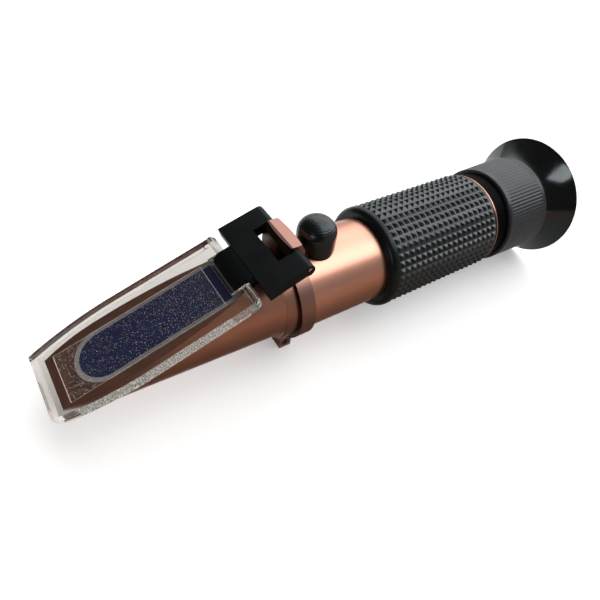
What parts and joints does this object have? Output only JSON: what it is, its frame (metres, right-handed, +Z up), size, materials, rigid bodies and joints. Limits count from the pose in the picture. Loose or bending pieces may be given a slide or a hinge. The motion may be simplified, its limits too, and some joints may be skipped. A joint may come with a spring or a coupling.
{
  "type": "refractometer",
  "caption": "Hand-held optical refractometer with hinged daylight plate over a sloping prism, slim barrel with studded grip, focusing eyepiece and flared eyecup",
  "frame": {"origin": "middle of the bounding box at the height of the surface that the instrument lies on", "axes": "+X along the optical axis towards the eyecup, +Z up through the calibration cap, +Y to the left seen from the eyecup"},
  "size_m": [0.1642, 0.04, 0.0412],
  "materials": {
    "housing_anodised": "dark copper anodised, satin",
    "barrel_anodised": "copper anodised, fine brushed",
    "collar_anodised": "copper anodised, satin",
    "prism_glass": "optical glass over a dark blue ground",
    "lens_glass": "polished optical glass",
    "reticle_glass": "polished glass with a fine scale",
    "clear_acrylic": "clear moulded acrylic with a frosted pad",
    "grey_sealant": "matt grey sealant",
    "black_rubber": "matt black rubber",
    "grip_rubber": "black rubber, satin",
    "cap_rubber": "black rubber, satin",
    "cup_rubber": "black rubber, glossy",
    "black_plastic": "black moulded plastic, satin",
    "ring_plastic": "dark grey plastic with fine ridges",
    "black_metal": "black anodised",
    "bright_steel": "turned steel",
    "screw_steel": "dark lacquered steel",
    "brass": "turned brass"
  },
  "bodies": {
    "root": {"prism_housing": "housing_anodised", "main_prism": "prism_glass", "prism_seal": "grey_sealant", "prism_bed": "black_rubber", "hinge_collar": "collar_anodised", "clamp_screw": "screw_steel", "housing_oring": "black_rubber", "light_baffle": "black_plastic", "barrel_tube": "barrel_anodised", "grip_sleeve": "grip_rubber", "calibration_bush": "brass", "strip_anchor": "black_metal", "bimetal_strip": "brass", "carrier_spring": "bright_steel", "scale_reticle": "reticle_glass", "reticle_retainer": "black_metal", "eyepiece_tube": "black_metal", "tube_key": "bright_steel", "focus_oring": "black_rubber"},
    "plate": {"daylight_plate": "clear_acrylic", "plate_bracket": "black_plastic", "hinge_pin": "bright_steel"},
    "cap": {"calibration_cap": "cap_rubber"},
    "carrier": {"lens_carrier": "black_metal", "objective_lens": "lens_glass", "objective_retainer": "black_metal"},
    "screw": {"calibration_screw": "bright_steel"},
    "cell": {"eye_cell": "black_metal", "field_lens": "lens_glass", "lens_spacer": "black_metal", "eye_lens": "lens_glass", "lens_retainer": "black_metal", "ring_keeper": "bright_steel"},
    "ring": {"focus_ring": "ring_plastic", "eyecup": "cup_rubber"}
  },
  "joints": [
    {"name": "plate_hinge", "type": "hinge", "parent": "root", "child": "plate", "pos_m": [-0.02022, 0, 0.03819], "axis": [0, 1, 0], "range_deg": [0, 120]},
    {"name": "cap_pull", "type": "slide", "parent": "root", "child": "cap", "axis": [0, 0, 1], "range_m": [0, 0.015]},
    {"name": "carrier_shift", "type": "slide", "parent": "root", "child": "carrier", "axis": [0, 0, 1], "range_m": [-0.00025, 0.00025], "deforming": ["carrier_spring"]},
    {"name": "calibration_turn", "type": "hinge", "parent": "carrier", "child": "screw", "pos_m": [-0.01006, 0, 0.03], "axis": [0, 0, 1], "range_deg": [-180, 180]},
    {"name": "focus_travel", "type": "slide", "parent": "root", "child": "cell", "axis": [1, 0, 0], "range_m": [-0.004, 0.001]},
    {"name": "focus_turn", "type": "hinge", "parent": "cell", "child": "ring", "pos_m": [0.07, 0, 0.02], "axis": [1, 0, 0], "range_deg": [-240, 60]}
  ],
  "couplings": [
    {"joint": "calibration_turn", "follows": "carrier_shift", "rad_per_m": 12566},
    {"joint": "focus_turn", "follows": "focus_travel", "rad_per_m": 1047.2}
  ]
}
